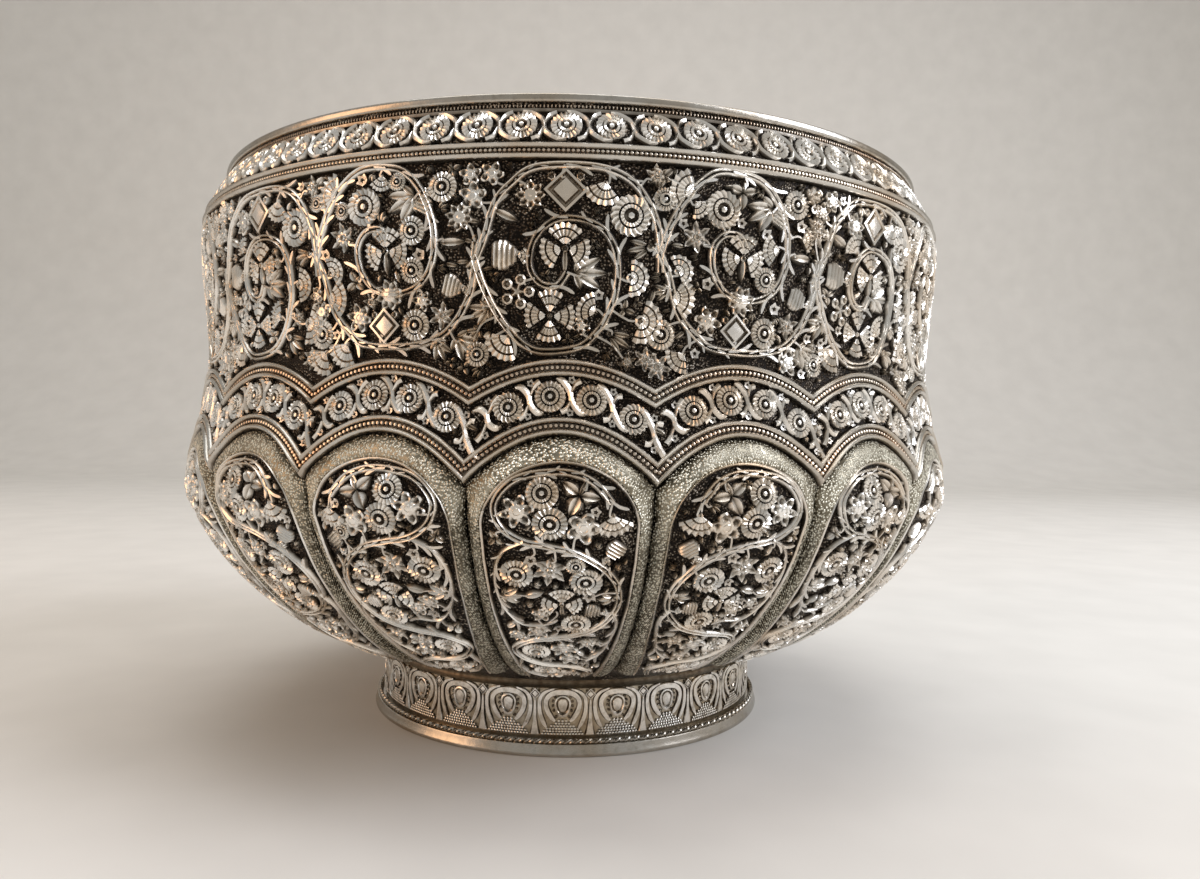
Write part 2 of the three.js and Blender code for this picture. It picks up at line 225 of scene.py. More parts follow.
def new_mesh(name, points, edges=(), faces=()):
    """A mesh from points and from the numbers of the points that its edges and faces join."""
    mesh = bpy.data.meshes.new(name)
    joined = [[list(map(int, corners)) for corners in joins] for joins in (edges, faces)]
    mesh.from_pydata(np.asarray(points).tolist(), *joined)
    return mesh


def mark(mesh, label, values, form="FLOAT"):
    """Gives each point of a mesh a value, for materials and Geometry Nodes to read."""
    values = np.asarray(values, np.int32 if form == "INT" else np.float32)
    mesh.attributes.new(label, form, "POINT").data.foreach_set("value", values)


def crisp(mesh):
    """Smooth shading, with a hard edge wherever two faces meet more sharply than 38 degrees."""
    mesh.shade_smooth()
    mesh.set_sharp_from_angle(angle=math.radians(38))


def made(name, points, faces, materials, crests=None):
    """A finished mesh object at the origin, from points in millimetres."""
    mesh = new_mesh(name, np.asarray(points) / 1000, faces=faces)
    for material in materials:
        mesh.materials.append(material)
    if crests is not None:
        mark(mesh, "crest", crests)
    crisp(mesh)
    return into_scene(name, mesh)


def fitted(piece, node="bowl_wall"):
    """The piece belongs to the bowl's one rigid body and stands for that solid."""
    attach(piece, "root")
    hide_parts(node)


OUTSIDE_ROWS, INSIDE_ROWS, STEPS_PER_LOBE = 90, 45, 14
columns = LOBES * STEPS_PER_LOBE
turn = np.arange(columns) / columns * math.tau
outside = np.linspace(0, reach[-1], OUTSIDE_ROWS)
dips = -GROUND * np.clip(outside / 4, 0, 1) * np.clip((reach[-1] - outside) / 1.2, 0.3, 1)
rows = [on_wall(turn, way, CREST_MARGIN - dip) for way, dip in zip(outside, dips)]
rows[0][:, 2] = SEAT_HEIGHT
rows[-1][:, 2] = LIP_SEAT
inside = [on_wall(turn, way, CREST_MARGIN - SHEET) for way in np.linspace(reach[-1], 0, INSIDE_ROWS)]
inside[0][:, 2] = LIP_SEAT
inside[-1][:, 2] = SEAT_HEIGHT + SHEET
rows += inside + [inside[-1] * [share, share, 1] for share in (0.75, 0.5, 0.25)]
points = np.concatenate(rows)
faces = grid_faces(len(rows), columns, True).tolist()
for base, height, way in ((0, SEAT_HEIGHT, -1), (len(points) - columns, SEAT_HEIGHT + SHEET, 1)):
    points = np.vstack([points, [0, 0, height]])
    ring = [(base + i, base + (i + 1) % columns) for i in range(columns)]
    faces += [(len(points) - 1,) + pair[::way] for pair in ring]
sheet = made("bowl_sheet", points, faces, [matted_ground(), planished_silver()])
strip = np.arange(len(faces)) // columns
planished = (strip >= OUTSIDE_ROWS - 1) & (strip != len(rows) - 1)
sheet.data.polygons.foreach_set("material_index", planished.astype(np.int32))
fitted(sheet)


# Plain ridges run in pairs round the sheet, chased up from behind and smoothed: one pair over the
# lobes' arches, one above the band over them, and one under the lip. A row of beads lies between.
def arch_line(azimuth, height, rise):
    """The height of a line of arches, which comes to a point between two lobes."""
    across = np.abs((azimuth / LOBE_TURN + 0.5) % 1 - 0.5) * 2
    steep = np.hypot(1, 2 * rise * across / (LOBE_TURN / 2 * 73))
    return height - rise * across**2, steep


LOBE_ARCH = (56.8, 6.2)
UPPER_ARCH = (64.6, 4.0)
COLLAR = (93.5, 0)
LOWER_RIDGE = [(-1.25, GROUND - 0.1), (-1.18, -0.3), (-1.02, 0.12), (-0.8, 0.28), (-0.58, 0.12),
               (-0.42, -0.25), (-0.36, -0.5)]
RIDGES = LOWER_RIDGE + [(-side, proud) for side, proud in LOWER_RIDGE[::-1]]
LIP_RIDGE = [(-0.3, -0.9), (-0.25, -0.4), (0, -0.15), (0.25, -0.4), (0.3, -0.9)]
ARCH_STEPS = 24
columns = LOBES * ARCH_STEPS
turn = (np.arange(columns) / ARCH_STEPS - 0.5) * LOBE_TURN
ridge_silver = chased_silver("ridge_silver_burnished", [
    (0.0, "17110c"), (0.35, "4e463c"), (0.75, "9a948b"), (1.0, "c8c4bc")], "d2b693")


def ridged(name, height, rise, profile):
    centre, steep = arch_line(turn, height, rise)
    rows = [on_wall(turn, along(centre + side * steep), proud) for side, proud in profile]
    crests = np.repeat([1 - proud / GROUND for _, proud in profile], columns)
    faces = grid_faces(len(rows) + 1, columns, True) % len(crests)
    fitted(made(name, np.concatenate(rows), faces, [ridge_silver], crests))


ridged("lobe_arch_ridges", *LOBE_ARCH, RIDGES)
ridged("upper_arch_ridges", *UPPER_ARCH, RIDGES)
ridged("collar_ridges", *COLLAR, RIDGES)
ridged("lip_ridge", 100.35, 0, LIP_RIDGE)

# Beads fill the groove of each pair, and a milled line runs under the lip. Every drawing of ornament
# is flat at first: x runs round the bowl and y up it. Then it is bent onto the wall.
BAND_RADIUS = 72.6


def round_the_wall(x, y, proud):
    """Bends a band's drawing, whose x is measured at the frieze and whose y is the height."""
    return on_wall(x / BAND_RADIUS, along(y), proud)


def new_tree(name, **sockets):
    """An empty Geometry Nodes tree with named inputs, and its input sockets."""
    tree = bpy.data.node_groups.new(name, "GeometryNodeTree")
    tree.interface.new_socket("Geometry", in_out="OUTPUT", socket_type="NodeSocketGeometry")
    for label, kind in {"Geometry": "Geometry", **sockets, "Silver": "Material"}.items():
        tree.interface.new_socket(label, in_out="INPUT", socket_type="NodeSocket" + kind)
    return tree, add(tree, "NodeGroupInput").outputs


def finish_tree(tree, given, geometry):
    real = add(tree, "GeometryNodeRealizeInstances", {"Geometry": geometry})
    silvered = add(tree, "GeometryNodeSetMaterial", {"Geometry": real, "Material": given["Silver"]})
    add(tree, "NodeGroupOutput", {"Geometry": silvered})


def drawing(lines):
    """A flat mesh of lines. Each line is its points, half widths and how high it rises."""
    counts = [len(path) for path, _, _ in lines]
    starts = np.cumsum([0] + counts[:-1])
    edges = np.concatenate([np.column_stack([np.arange(n - 1), np.arange(1, n)]) + start
                            for n, start in zip(counts, starts)])
    flat = np.concatenate([path for path, _, _ in lines])
    mesh = new_mesh("drawing", np.column_stack([flat, np.zeros(len(flat))]), edges)
    mark(mesh, "half_width", np.concatenate([widths for _, widths, _ in lines]))
    mark(mesh, "rise", np.repeat([rise for _, _, rise in lines], counts))
    return into_scene("drawing", mesh)


def grown(name, source, tree, place, inputs, slot="chased_silver", node="bowl_wall"):
    """Runs a tree on a flat drawing and bends what it makes onto the bowl, as one plain mesh."""
    modifier = source.modifiers.new(tree.name, "NODES")
    modifier.node_group = tree
    for socket in tree.interface.items_tree:
        if socket.in_out == "INPUT" and socket.name in inputs:
            modifier[socket.identifier] = inputs[socket.name]
    mesh = bpy.data.meshes.new_from_object(source.evaluated_get(bpy.context.evaluated_depsgraph_get()))
    bpy.data.objects.remove(source)
    flat = np.empty(3 * len(mesh.vertices), np.float32)
    mesh.vertices.foreach_get("co", flat)
    x, y, proud = flat.reshape(-1, 3).astype(float).T
    mesh.vertices.foreach_set("co", (place(x, y, proud) / 1000).astype(np.float32).ravel())
    mark(mesh, "crest", np.clip(1 - proud / GROUND, 0, 1))
    mesh.update()
    crisp(mesh)
    fitted(into_scene(name, mesh), node)


beading, given = new_tree("row_of_beads", Pitch="Float", Bead="Vector", Level="Float")
line = add(beading, "GeometryNodeMeshToCurve", {"Mesh": given["Geometry"]})
spots = add(beading, "GeometryNodeCurveToPoints", {"Curve": line, "Length": given["Pitch"]}, mode="LENGTH")
bead = add(beading, "GeometryNodeMeshUVSphere", {"Segments": 6, "Rings": 4, "Radius": 0.5})
beads = add(beading, "GeometryNodeInstanceOnPoints",
            {"Points": spots, "Instance": bead, "Scale": given["Bead"]})
level = add(beading, "ShaderNodeCombineXYZ", {"Z": given["Level"]})
raised = add(beading, "GeometryNodeSetPosition", {"Geometry": beads, "Offset": level})
finish_tree(beading, given, raised)

bead_silver = chased_silver("beads_toned_silver", [
    (0.0, "1a110a"), (0.4, "54402f"), (0.7, "b6a591"), (1.0, "f0e6d6")], "d6a87c")


def beaded(name, height, rise, pitch, bead, level):
    azimuth = np.linspace(-math.pi, math.pi, columns + 1)
    path = np.column_stack([azimuth * BAND_RADIUS, arch_line(azimuth, height, rise)[0]])
    grown(name, drawing([(path, np.ones(len(path)), 1.0)]), beading, round_the_wall,
          {"Pitch": pitch, "Bead": bead, "Level": level, "Silver": bead_silver})


beaded("lobe_arch_beads", *LOBE_ARCH, 0.7, (0.66, 0.66, 0.56), -0.3)
beaded("upper_arch_beads", *UPPER_ARCH, 0.7, (0.66, 0.66, 0.56), -0.3)
beaded("collar_beads", *COLLAR, 0.66, (0.62, 0.62, 0.56), -0.3)
beaded("lip_milled_line", 100.8, 0, 0.56, (0.34, 0.5, 0.5), -0.25)


# Rosettes and stems under the lip, seventy-two of each: every rosette sits in the bend of a stem that
# leaves the top of the one before it. All the raised strokes were left standing when the ground was
# sunk, and the flowers on them were cut with the same few punches.
strokes, given = new_tree("raised_strokes", Sides="Int", Ground="Float", Steep="Float")
wide = add(strokes, "GeometryNodeInputNamedAttribute", {"Name": "half_width"})
tall = add(strokes, "GeometryNodeInputNamedAttribute", {"Name": "rise"})
line = add(strokes, "GeometryNodeMeshToCurve", {"Mesh": given["Geometry"]})
line = add(strokes, "GeometryNodeSetCurveNormal", {"Curve": line}, mode="Z_UP")
section = add(strokes, "GeometryNodeCurvePrimitiveCircle", {"Resolution": given["Sides"], "Radius": 1.0})
swept = add(strokes, "GeometryNodeCurveToMesh",
            {"Curve": line, "Profile Curve": section, "Scale": wide, "Fill Caps": True})
spot = add(strokes, "ShaderNodeSeparateXYZ", {0: add(strokes, "GeometryNodeInputPosition")})
up = spot.outputs["Z"]
for operation, *values in (("DIVIDE", wide), ("MAXIMUM", -0.2), ("MULTIPLY", given["Steep"]),
                           ("MINIMUM", 1.0), ("MULTIPLY_ADD", tall, given["Ground"])):
    up = add(strokes, "ShaderNodeMath", dict(enumerate([up, *values])), operation=operation)
lifted = add(strokes, "ShaderNodeCombineXYZ", {"X": spot.outputs["X"], "Y": spot.outputs["Y"], "Z": up})
raised = add(strokes, "GeometryNodeSetPosition", {"Geometry": swept, "Position": lifted})
finish_tree(strokes, given, raised)


def swelling(widths, count):
    """A stroke's half widths at all its points, from a few that are spaced evenly."""
    return np.interp(np.linspace(0, 1, count), np.linspace(0, 1, len(widths)), widths)


def stroke(lines, knots, widths, rise=-GROUND):
    """Draws one raised stroke through the knots."""
    path = smooth_line(knots, 4)
    lines.append((path, swelling(widths, len(path)), rise))


def raised_lines(name, lines, place=round_the_wall, sides=8, ground=GROUND, silver=relief_silver,
                 steep=1.0, **fitting):
    """Raised strokes along the lines, round on top, or flat where they rise steeply."""
    grown(name, drawing(lines), strokes, place,
          {"Sides": sides, "Ground": ground, "Steep": steep, "Silver": silver}, **fitting)


def petalled(petals, steps, rings, bite=0.0, twist=0.0, point=1.0):
    """Rings of points round a centre. Each ring is its radius, height on a petal and height between."""
    turn = np.arange(petals * steps) / (petals * steps) * math.tau
    wave = (1 + np.cos(petals * turn)) / 2
    grid = []
    for number, (radius, crest, valley) in enumerate(rings):
        out = radius * (1 - bite * (1 - wave**point))
        grid.append(np.column_stack([out * np.sin(turn + twist * number), out * np.cos(turn + twist * number),
                                     valley + (crest - valley) * wave]))
    return np.array(grid), True


FAN = [(0.08, 0.85, 0.85), (0.32, 0.95, 0.85), (0.36, 0.5, 0.5), (0.41, 0.95, 0.7), (0.66, 0.95, 0.7),
       (0.7, 0.45, 0.45), (0.75, 0.97, 0.68), (0.98, 0.88, 0.6)]


def fanned(size, span, ribs, at, aim=0.0):
    """A ribbed fan that opens from a point and has a scalloped edge."""
    turn = math.radians(aim) + np.linspace(-0.5, 0.5, 2 * ribs + 1) * math.radians(span)
    rib = np.arange(2 * ribs + 1) % 2
    grid = []
    for radius, crest, valley in FAN:
        out = radius * size * (1 - 0.07 * (1 - rib) * (radius == FAN[-1][0]))
        grid.append(np.column_stack([at[0] + out * np.sin(turn), at[1] + out * np.cos(turn),
                                     valley + (crest - valley) * rib]))
    return np.array(grid), False


def leafed(length, width, at, aim=0.0, vein=0.55, tip=1.0):
    """A leaf with a sunk vein, from its foot to its point."""
    way = np.linspace(0, 1, 6)
    half = width / 2 * np.sin(math.pi * way**tip) ** 0.75 + 0.012
    side = np.array([-1, -0.55, 0, 0.55, 1])
    across, up = half[:, None] * side, np.repeat(way[:, None] * length, 5, 1)
    c, s = math.cos(math.radians(aim)), math.sin(math.radians(aim))
    fall = np.minimum(1, 0.45 + 2.2 * np.minimum(way, 1 - way))
    high = np.array([0.35, 0.92, vein, 0.92, 0.35]) * fall[:, None]
    return np.stack([at[0] + across * c + up * s, at[1] - across * s + up * c, high], -1), False


def barred(foot, head, length, bars, low):
    """A leaf crossed by bars, like a little barrel."""
    way = np.linspace(0, 1, 2 * bars + 1)
    half = (foot + (head - foot) * way) / 2 + 0.15 * np.sin(math.pi * way)
    across = half[:, None] * np.array([-1, -0.8, 0.8, 1])
    up = np.repeat(way[:, None] * length, 4, 1)
    high = np.where(np.arange(2 * bars + 1) % 2, 0.95, 0.6)[:, None] * np.array([0.6, 1, 1, 0.6])
    return np.stack([across, low + up, high], -1), False


def set_at(part, at, size):
    """The same part moved to a place, made smaller or larger."""
    grid, closed = part
    return grid * [size, size, 1] + [at[0], at[1], 0], closed


def eyelet(size, at=(0, 0), sides=8):
    cup = petalled(sides, 1, [(0.5, -0.15, 0), (0.46, 0.7, 0), (0.3, 0.95, 0), (0.14, 0.4, 0)])
    return set_at(cup, at, size)


def round_of(count, part_of):
    """Parts set in a ring, each made for its angle in radians and that angle's sine and cosine."""
    angles = np.arange(count) / count * math.tau
    return [part_of(angle, math.sin(angle), math.cos(angle)) for angle in angles]


def vane(angle, s, c):
    """One of the fans that make a pinwheel."""
    return fanned(0.46, 72, 5, (0.06 * s, 0.06 * c), math.degrees(angle))


def bead_of_drop(angle, s, c):
    """One of the eyelets that follow the edge of a pointed drop."""
    out = 0.55 - 0.23 * (1 - ((1 + c) / 2) ** 8)
    return eyelet(0.1, (out * s, out * c), 6)


BOSS = set_at(petalled(6, 1, [(0.5, 0.2, 0), (0.4, 0.9, 0), (0.15, 0.97, 0)]), (0, 0), 0.2)
FLUTES = [(0.52, -0.15, -0.15), (0.51, 0.85, 0.5), (0.45, 0.97, 0.66), (0.32, 0.92, 0.62), (0.295, 0.3, 0.3),
          (0.27, 0.97, 0.8), (0.19, 0.97, 0.8), (0.15, 0.25, 0.25)]
CUPS = [(0.52, -0.15, -0.15), (0.51, 0.9, 0.4), (0.44, 0.97, 0.7), (0.38, 0.3, 0.8), (0.28, 0.3, 0.85),
        (0.22, 0.85, 0.85)]
MOTIFS = {
    "rosette": [petalled(20, 2, FLUTES), BOSS],
    "spiral": [petalled(18, 2, FLUTES, 0.03, 0.14), BOSS],
    "daisy": [petalled(8, 4, CUPS, 0.2, 0, 0.8), BOSS],
    "lily": [petalled(6, 4, [(0.54, -0.15, -0.15), (0.52, 0.9, 0.3), (0.4, 0.35, 0.85), (0.25, 0.4, 0.9),
                             (0.2, 0.85, 0.6)], 0.4, 0, 1.3), eyelet(0.26)],
    "cups": [petalled(6, 6, CUPS, 0.34, 0, 0.6), eyelet(0.34)],
    "eyelets": [*round_of(5, lambda angle, s, c: eyelet(0.34, (0.33 * s, 0.33 * c), 7)),
                petalled(5, 4, [(0.3, -0.1, -0.1), (0.28, 0.8, 0.3), (0.1, 0.85, 0.6)], 0.5)],
    "floret": [petalled(5, 2, [(0.5, -0.15, -0.15), (0.48, 0.9, 0.6), (0.2, 0.6, 0.8),
                               (0.1, 0.3, 0.3)], 0.25)],
    "shell": [fanned(0.92, 116, 7, (0, -0.44)), leafed(0.3, 0.22, (0, -0.55))],
    "palmette": [fanned(0.45, 104, 6, (0, 0.06)), fanned(0.44, 96, 6, (0.07, 0), 108),
                 fanned(0.44, 96, 6, (-0.07, 0), -108), leafed(0.5, 0.14, (0, -0.48)), eyelet(0.16)],
    "pinwheel": [*round_of(4, vane), eyelet(0.14)],
    "half": [fanned(0.6, 190, 8, (0, -0.22)), eyelet(0.36, (0, -0.22))],
    "barrel": [barred(0.36, 0.62, 0.7, 5, -0.3), fanned(0.3, 110, 3, (0, -0.32), 180)],
    "leaf": [leafed(1.0, 0.46, (0, -0.5))],
    "split": [leafed(length, width, (0, -0.5), aim) for length, width, aim in (
        (0.85, 0.4, 30), (0.85, 0.4, -30), (0.95, 0.36, 0), (0.5, 0.26, 68), (0.5, 0.26, -68))],
    "trefoil": [leafed(0.6, 0.46, (0, -0.06), 0, 0.5, 0.8), leafed(0.55, 0.42, (0.03, -0.1), 105, 0.5, 0.8),
                leafed(0.55, 0.42, (-0.03, -0.1), -105, 0.5, 0.8), leafed(0.45, 0.16, (0, -0.52))],
    "kite": [petalled(4, 1, [(0.5, -0.15, 0), (0.49, 0.92, 0), (0.41, 0.97, 0), (0.37, 0.4, 0),
                             (0.31, 0.4, 0), (0.27, 0.9, 0), (0.1, 0.97, 0)]),
             eyelet(0.26, (0.32, 0.3), 6), eyelet(0.26, (-0.32, 0.3), 6)],
    "primrose": [petalled(5, 6, CUPS, 0.3, 0.05, 0.6), eyelet(0.4)],
    "drop": [petalled(1, 20, [(0.46, -0.15, -0.15), (0.45, 0.8, 0.8), (0.37, 0.95, 0.95), (0.31, 0.35, 0.35),
                              (0.25, 0.9, 0.9), (0.1, 0.97, 0.97)], 0.42, 0, 8.0),
             *round_of(14, bead_of_drop)],
    "bud": [leafed(0.8, 0.3, (0, -0.28)), leafed(0.7, 0.26, (0.08, -0.32), 24),
            leafed(0.7, 0.26, (-0.08, -0.32), -24), eyelet(0.26, (0, -0.4), 6)],
    "grain": [petalled(6, 1, [(0.5, 0.2, 0.2), (0.45, 0.85, 0.85), (0.3, 0.97, 0.97)])],
}
KINDS = {name: number for number, name in enumerate(MOTIFS)}


def punched(name, parts):
    """A motif one millimetre across, as a closed mesh that stands in the ground."""
    points, faces = [], []
    for grid, closed in parts:
        rows, across = grid.shape[:2]
        base = sum(map(len, points))
        points.append(grid.reshape(-1, 3))
        faces += (grid_faces(rows, across, closed) + base).tolist()
        if closed:
            last = base + (rows - 1) * across
            faces += [list(range(base, base + across)), list(range(last, last + across))]
            continue
        spots = np.arange(rows * across).reshape(rows, across) + base
        rim = np.concatenate([spots[0, :-1], spots[:-1, -1], spots[-1, :0:-1], spots[:0:-1, 0]])
        foot = grid.reshape(-1, 3)[rim - base] * [1, 1, 0] - [0, 0, 0.15]
        points.append(foot)
        under = base + rows * across + np.arange(len(rim))
        faces += np.stack([rim, np.roll(rim, -1), np.roll(under, -1), under], -1).tolist() + [under.tolist()]
    mesh = new_mesh(name, np.concatenate(points), faces=faces)
    work = bmesh.new()
    work.from_mesh(mesh)
    bmesh.ops.recalc_face_normals(work, faces=work.faces)
    work.to_mesh(mesh)
    work.free()
    return bpy.data.objects.new(name, mesh)


punches = bpy.data.collections.new("punches")
for number, (name, parts) in enumerate(MOTIFS.items()):
    punches.objects.link(punched(f"punch_{number:02d}_{name}", parts))

STAMP_VALUES = {"kind": "INT", "size": "FLOAT", "spin": "FLOAT"}
flowering, given = new_tree("punched_flowers", Punches="Collection", Tall="Float")
kind, size, spin = (add(flowering, "GeometryNodeInputNamedAttribute", {"Name": label}, data_type=form)
                    for label, form in STAMP_VALUES.items())
motifs = add(flowering, "GeometryNodeCollectionInfo",
             {"Collection": given["Punches"], "Separate Children": True, "Reset Children": True})
rotation = add(flowering, "FunctionNodeEulerToRotation",
               {0: add(flowering, "ShaderNodeCombineXYZ", {"Z": spin})})
scale = add(flowering, "ShaderNodeCombineXYZ", {"X": size, "Y": size, "Z": given["Tall"]})
struck = add(flowering, "GeometryNodeInstanceOnPoints",
             {"Points": given["Geometry"], "Instance": motifs, "Pick Instance": True,
              "Instance Index": kind, "Rotation": rotation, "Scale": scale})
finish_tree(flowering, given, struck)


def flowers(name, stamps, place=round_the_wall, ground=GROUND, silver=relief_silver, tall=1.0, **fitting):
    """Strikes the punches at places on a flat drawing. A stamp is x, y, kind, size and spin."""
    mesh = new_mesh("spots", [(x, y, ground) for x, y, *_ in stamps])
    lists = zip(*[(KINDS[kind], size, spin) for _, _, kind, size, spin in stamps])
    for (label, form), values in zip(STAMP_VALUES.items(), lists):
        mark(mesh, label, values, form)
    grown(name, into_scene("spots", mesh), flowering, place,
          {"Punches": punches, "Tall": tall, "Silver": silver}, **fitting)


RIM_ROSETTES = 72
RIM_CURLS = [([(-0.5, 0.98), (-0.3, 0.93), (-0.06, 0.5), (0.0, 0.0)], [0.2, 0.5, 0.5, 0.4]),
             ([(0.26, 0.96), (0.1, 0.72), (0.02, 0.2)], [0.46, 0.4, 0.2])]
RIM_PITCH = math.tau * BAND_RADIUS / RIM_ROSETTES
RIM_MIDDLE, RIM_HALF = 97.65, 2.35
chance = np.random.default_rng(7)
lines, stamps = [], []
for k in range(RIM_ROSETTES):
    x = (k - RIM_ROSETTES / 2) * RIM_PITCH
    kind = "spiral" if chance.random() < 0.4 else "rosette"
    stamps.append((x, RIM_MIDDLE, kind, 4.35, chance.uniform(0, 6.3)))
    gap = x + RIM_PITCH / 2
    for side in (1, -1):
        for curl, widths in RIM_CURLS:
            stroke(lines, [(gap + side * u * RIM_PITCH, RIM_MIDDLE + side * v * RIM_HALF)
                           for u, v in curl], widths)
raised_lines("rim_stems", lines)
flowers("rim_rosettes", stamps)


# The frieze. A vine passes over one scroll and under the next, and curls inwards in each. Its leaves
# are split and its flowers cut with punches, on a ground sunk and matted around them.
class Garden:
    """Adds vines, leaves and flowers to a drawing's three lists, and keeps them clear of each other."""

    def __init__(self, seed, inside, drawn):
        self.chance = np.random.default_rng(seed)
        self.inside = inside
        self.vines, self.leaves, self.stamps = drawn
        self.taken = np.empty((0, 3))
        self.vine_spots = np.empty((0, 2))

    def take(self, path, radius):
        self.taken = np.vstack([self.taken, np.column_stack([path, np.full(len(path), radius)])])

    def vine(self, knots, widths, double=False):
        path = smooth_line(knots, 5)
        way = np.gradient(path, axis=0)
        side = np.column_stack([-way[:, 1], way[:, 0]]) / np.hypot(*way.T)[:, None]
        half = swelling(widths, len(path))
        for offset in ((-1, 1) if double else (0,)):
            line = path + side * offset * half[:, None] * 0.85
            self.vines.append((line, half * (0.82 if double else 1), -GROUND))
        self.take(path, half.max() * (1.7 if double else 1.1))
        self.vine_spots = np.vstack([self.vine_spots, path])
        return path

    def room(self, at, reach, skip=None):
        """How much wider than reach the free place round a point is."""
        others = self.taken if skip is None else self.taken[np.hypot(*(self.taken[:, :2] - skip).T) > 1.7]
        if not len(others):
            return 9.0
        return (np.hypot(*(others[:, :2] - at).T) - others[:, 2]).min() - reach

    def flower(self, at, kind, size, spin=None, stem=True):
        at = np.asarray(at, float)
        root = self.vine_spots[np.hypot(*(self.vine_spots - at).T).argmin()]
        away = at - root
        gap = math.hypot(*away)
        if spin is None:
            spin = math.atan2(-away[0], away[1])
        if stem and 0.3 < gap - size / 2 < 5:
            side = np.array([-away[1], away[0]]) / gap * self.chance.choice([-0.5, 0.5])
            stalk = smooth_line([root, root + away * 0.5 + side, at - away / gap * size * 0.3], 3)
            self.leaves.append((stalk, np.linspace(0.3, 0.24, len(stalk)), 0.85))
        self.stamps.append((at[0], at[1], kind, size, spin))
        self.take(at[None], size * 0.46)

    def leafage(self, path, spacing, length):
        way = np.r_[0, np.cumsum(np.hypot(*np.diff(path, axis=0).T))]
        for number, spot in enumerate(np.arange(spacing * 0.4, way[-1] - 0.5, spacing)):
            here = np.array([np.interp(spot, way, path[:, k]) for k in (0, 1)])
            ahead = np.array([np.interp(spot + 0.4, way, path[:, k]) for k in (0, 1)]) - here
            ahead /= np.hypot(*ahead) + 1e-9
            out = np.array([-ahead[1], ahead[0]]) * (1 if number % 2 else -1)
            for size in (length * self.chance.uniform(0.85, 1.15), length * 0.6, length * 0.42):
                middle = here + ahead * 0.58 * size + out * 0.13 * size
                tip = here + ahead * 1.02 * size + out * 0.44 * size
                if self.inside(tip) and self.room(tip, 0.16, here) > 0:
                    leaf = smooth_line([here, middle, tip], 3)
                    share = np.linspace(0, 1, len(leaf))
                    half = np.interp(share, [0, 0.4, 0.8, 1], [0.2, 0.38, 0.44, 0.14])
                    self.leaves.append((leaf, half * min(1.1, size / 2.4), 0.92))
                    self.take(leaf[2:], 0.4)
                    break

    def fill(self, low, high, sizes, tries):
        for size in sizes:
            kinds = FILLING if size > 1.9 else SMALL if size > 1 else ["bud", "leaf"]
            for at in self.chance.uniform(low, high, (tries, 2)):
                edges = [at + np.array(way) * size * 0.5 for way in ((1, 0), (-1, 0), (0, 1), (0, -1))]
                if all(map(self.inside, edges)) and self.room(at, size * 0.43) > 0:
                    self.flower(at, kinds[self.chance.integers(len(kinds))], size * 1.25,
                                None if size > 1.2 else self.chance.uniform(0, 6.3), size > 1.6)


OVER = [
    (-13.2, 77.6), (-12.3, 78.6), (-10.9, 81.6), (-9.4, 86.3), (-7.2, 88.9), (-4.3, 91.0), (1.0, 91.5),
    (5.9, 91.0), (9.3, 89.2), (11.9, 85.5), (12.9, 82.1), (13.2, 77.6)]
CURL = [
    (-12.4, 79.4), (-11.2, 75.6), (-9.4, 72.0), (-7.2, 69.1), (-4.6, 67.1), (-1.75, 66.7), (2.2, 67.4),
    (4.7, 69.5), (6.4, 72.5), (7.3, 76.0), (7.0, 80.0), (5.1, 83.0), (1.7, 84.3), (-1.6, 83.9),
    (-4.1, 81.4), (-4.7, 77.9), (-3.2, 75.7), (-0.9, 75.5), (0.4, 77.2)]
OVER_FLOWERS = [
    (-9.8, 90.2, "primrose", 2.8), (-7.9, 84.6, "leaf", 3.0), (-4.6, 87.3, "daisy", 3.3),
    (0.1, 88.0, "kite", 5.0), (4.9, 87.7, "shell", 3.0), (8.9, 84.9, "spiral", 4.6),
    (-7.9, 79.4, "barrel", 4.2), (0.1, 80.3, "palmette", 5.8), (10.2, 80.6, "bud", 3.0),
    (3.8, 77.2, "split", 4.0), (10.1, 76.6, "half", 3.6), (-6.4, 74.6, "eyelets", 4.2),
    (-1.9, 71.4, "pinwheel", 5.8), (3.2, 72.6, "shell", 2.6), (-8.6, 67.4, "shell", 3.2),
    (-11.9, 71.6, "split", 3.0), (7.6, 68.4, "bud", 3.2), (11.8, 70.6, "half", 4.4),
    (11.4, 65.9, "lily", 2.8), (-11.9, 66.2, "rosette", 2.8), (12.4, 90.4, "lily", 2.8)]
UNDER_FLOWERS = [
    (-3.4, 86.6, "spiral", 4.4), (2.4, 86.5, "split", 4.0), (5.9, 86.5, "barrel", 3.0),
    (-7.2, 82.6, "lily", 3.5), (0.0, 80.3, "palmette", 5.6), (9.9, 81.2, "leaf", 3.2),
    (-8.9, 78.3, "half", 3.2), (0.2, 74.4, "daisy", 3.6), (3.9, 77.6, "rosette", 2.9),
    (10.0, 75.3, "barrel", 3.4), (-8.7, 74.3, "shell", 3.2), (-4.9, 71.4, "cups", 3.5),
    (-0.6, 70.2, "kite", 4.2), (4.2, 70.2, "rosette", 3.5), (8.3, 71.4, "lily", 3.2),
    (-11.8, 69.3, "rosette", 3.4), (11.9, 67.2, "split", 3.4), (-9.4, 89.2, "shell", 3.2),
    (8.6, 88.6, "rosette", 3.4), (-12.3, 90.6, "trefoil", 2.6)]
FILLING = ["rosette", "daisy", "lily", "trefoil", "shell", "primrose", "split", "cups"]
SMALL = ["floret", "leaf", "trefoil", "floret", "bud"]
FRIEZE_MIDDLE, FRIEZE_TOP = 79.4, 91.9
SCROLL_PITCH = math.tau * BAND_RADIUS / LOBES


def in_frieze(at):
    line, steep = arch_line(at[0] / BAND_RADIUS, *UPPER_ARCH)
    return line + 1.55 * steep < at[1] < FRIEZE_TOP


